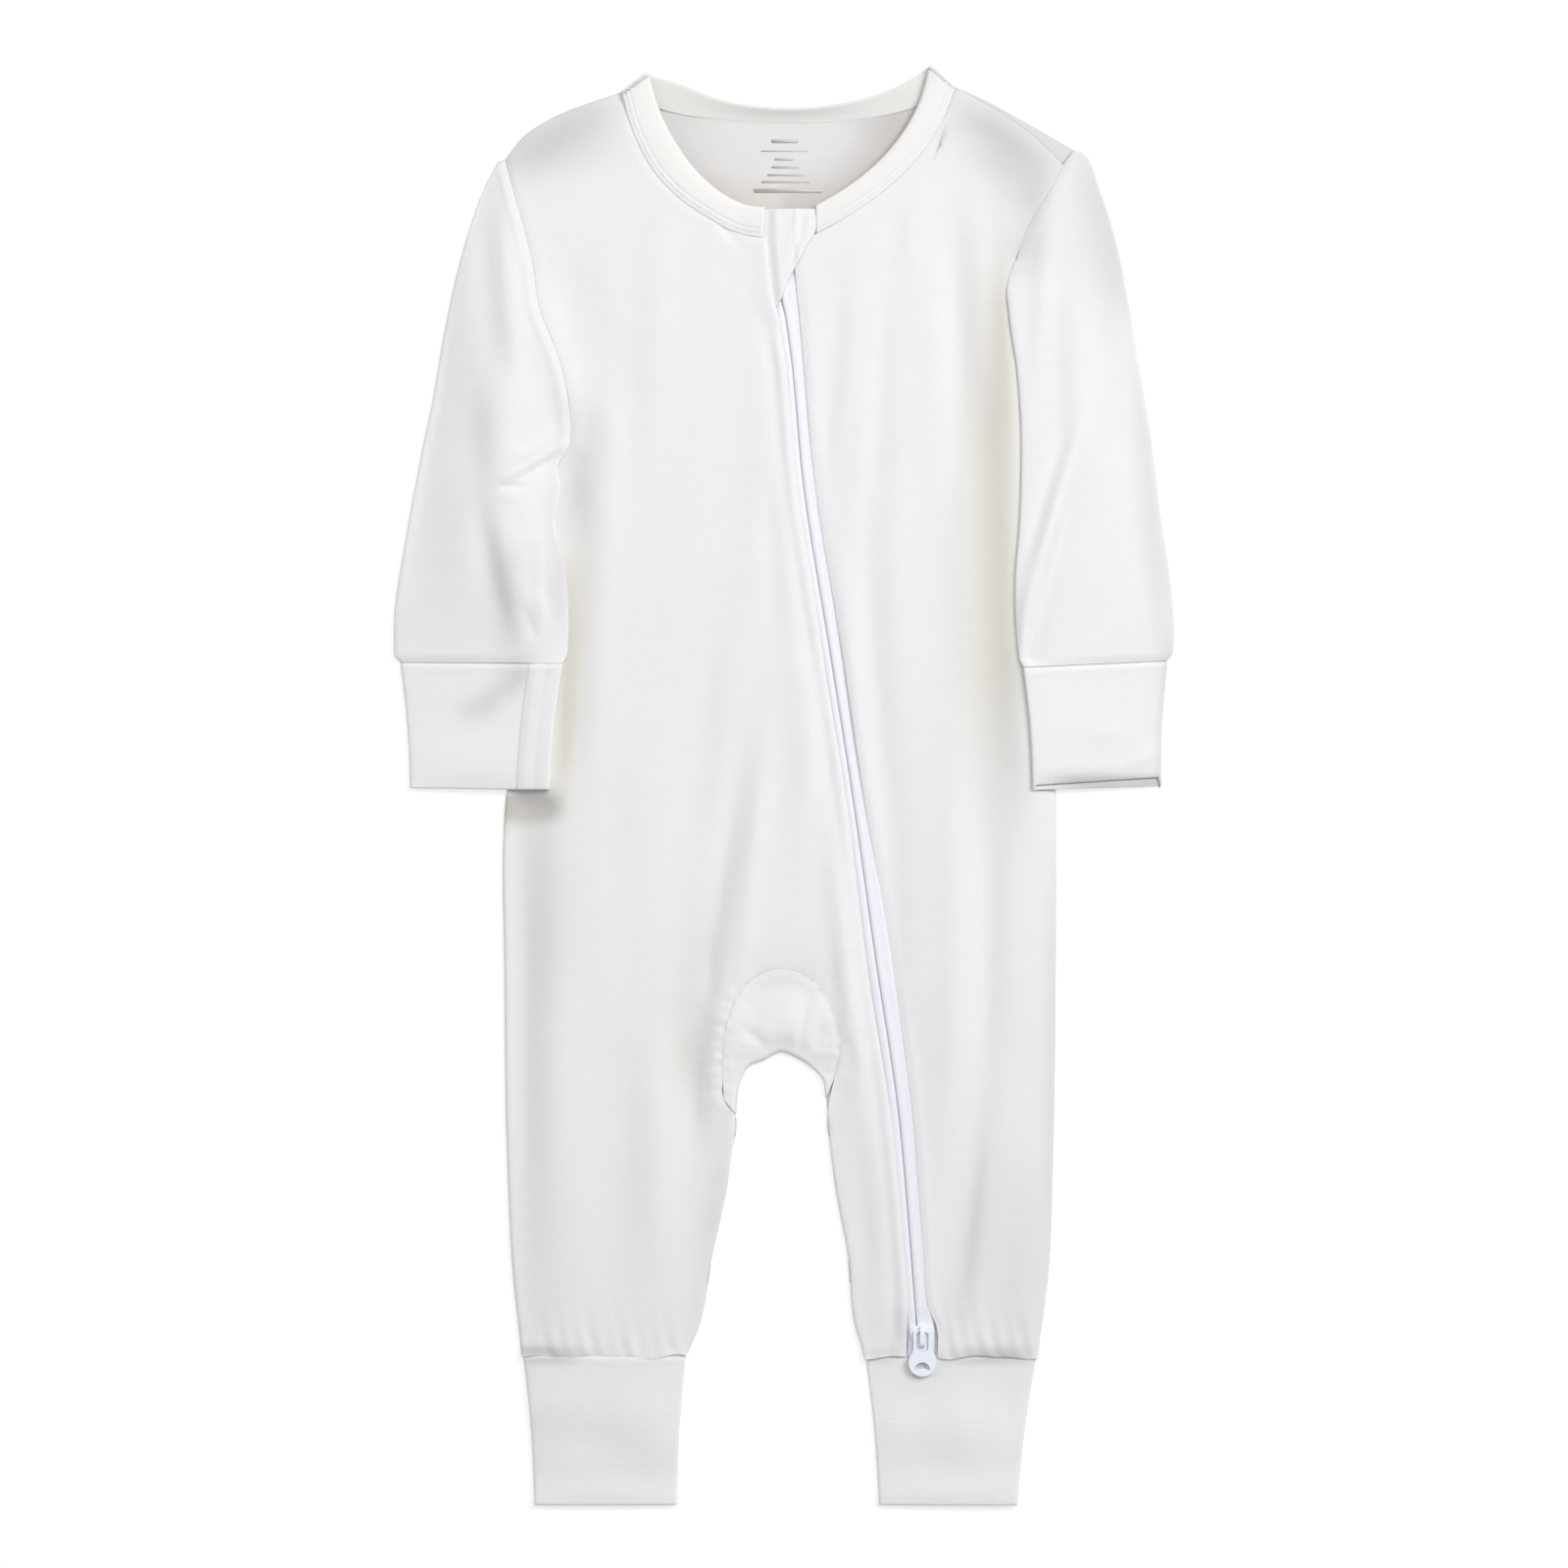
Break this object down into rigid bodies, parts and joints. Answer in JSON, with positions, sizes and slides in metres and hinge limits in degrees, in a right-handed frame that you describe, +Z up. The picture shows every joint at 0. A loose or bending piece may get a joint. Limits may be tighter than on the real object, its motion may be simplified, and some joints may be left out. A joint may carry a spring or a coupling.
{
  "type": "footless zip romper",
  "caption": "Footless baby romper with long sleeves, ribbed cuffs, a crew neck band and a curved zip from the neck to the left ankle, laid flat.",
  "frame": {"origin": "centre of the bounding box's base, on the surface that the garment lies on", "axes": "+Y from the feet to the neck, +X to the wearer's left, +Z up, out of the front of the garment"},
  "size_m": [0.3198, 0.5884, 0.0113],
  "materials": {
    "jersey": "soft matt knit, warm white",
    "rib": "fine rib knit, creamy white",
    "zip_tape": "woven tape, cool white",
    "zip_metal": "smooth white enamel"
  },
  "bodies": {
    "garment": {"back": "jersey", "front_right": "jersey", "front_left": "jersey", "crotch_gusset": "jersey", "sleeve_right": "jersey", "sleeve_left": "jersey", "zip_guard": "jersey", "cuff_right": "rib", "cuff_left": "rib", "mitten_fold": "rib", "leg_cuff_right": "rib", "leg_cuff_left": "rib", "neck_band": "rib", "zip_tape_right": "zip_tape", "zip_tape_left": "zip_tape", "zip_slider": "zip_metal"},
    "pull_tab": {"zip_pull_tab": "zip_metal"}
  },
  "joints": [
    {"name": "pull_tab_hinge", "type": "hinge", "parent": "garment", "child": "pull_tab", "pos_m": [0.0564, -0.2232, 0.0052], "axis": [-1, 0, 0], "range_deg": [0, 150]}
  ]
}
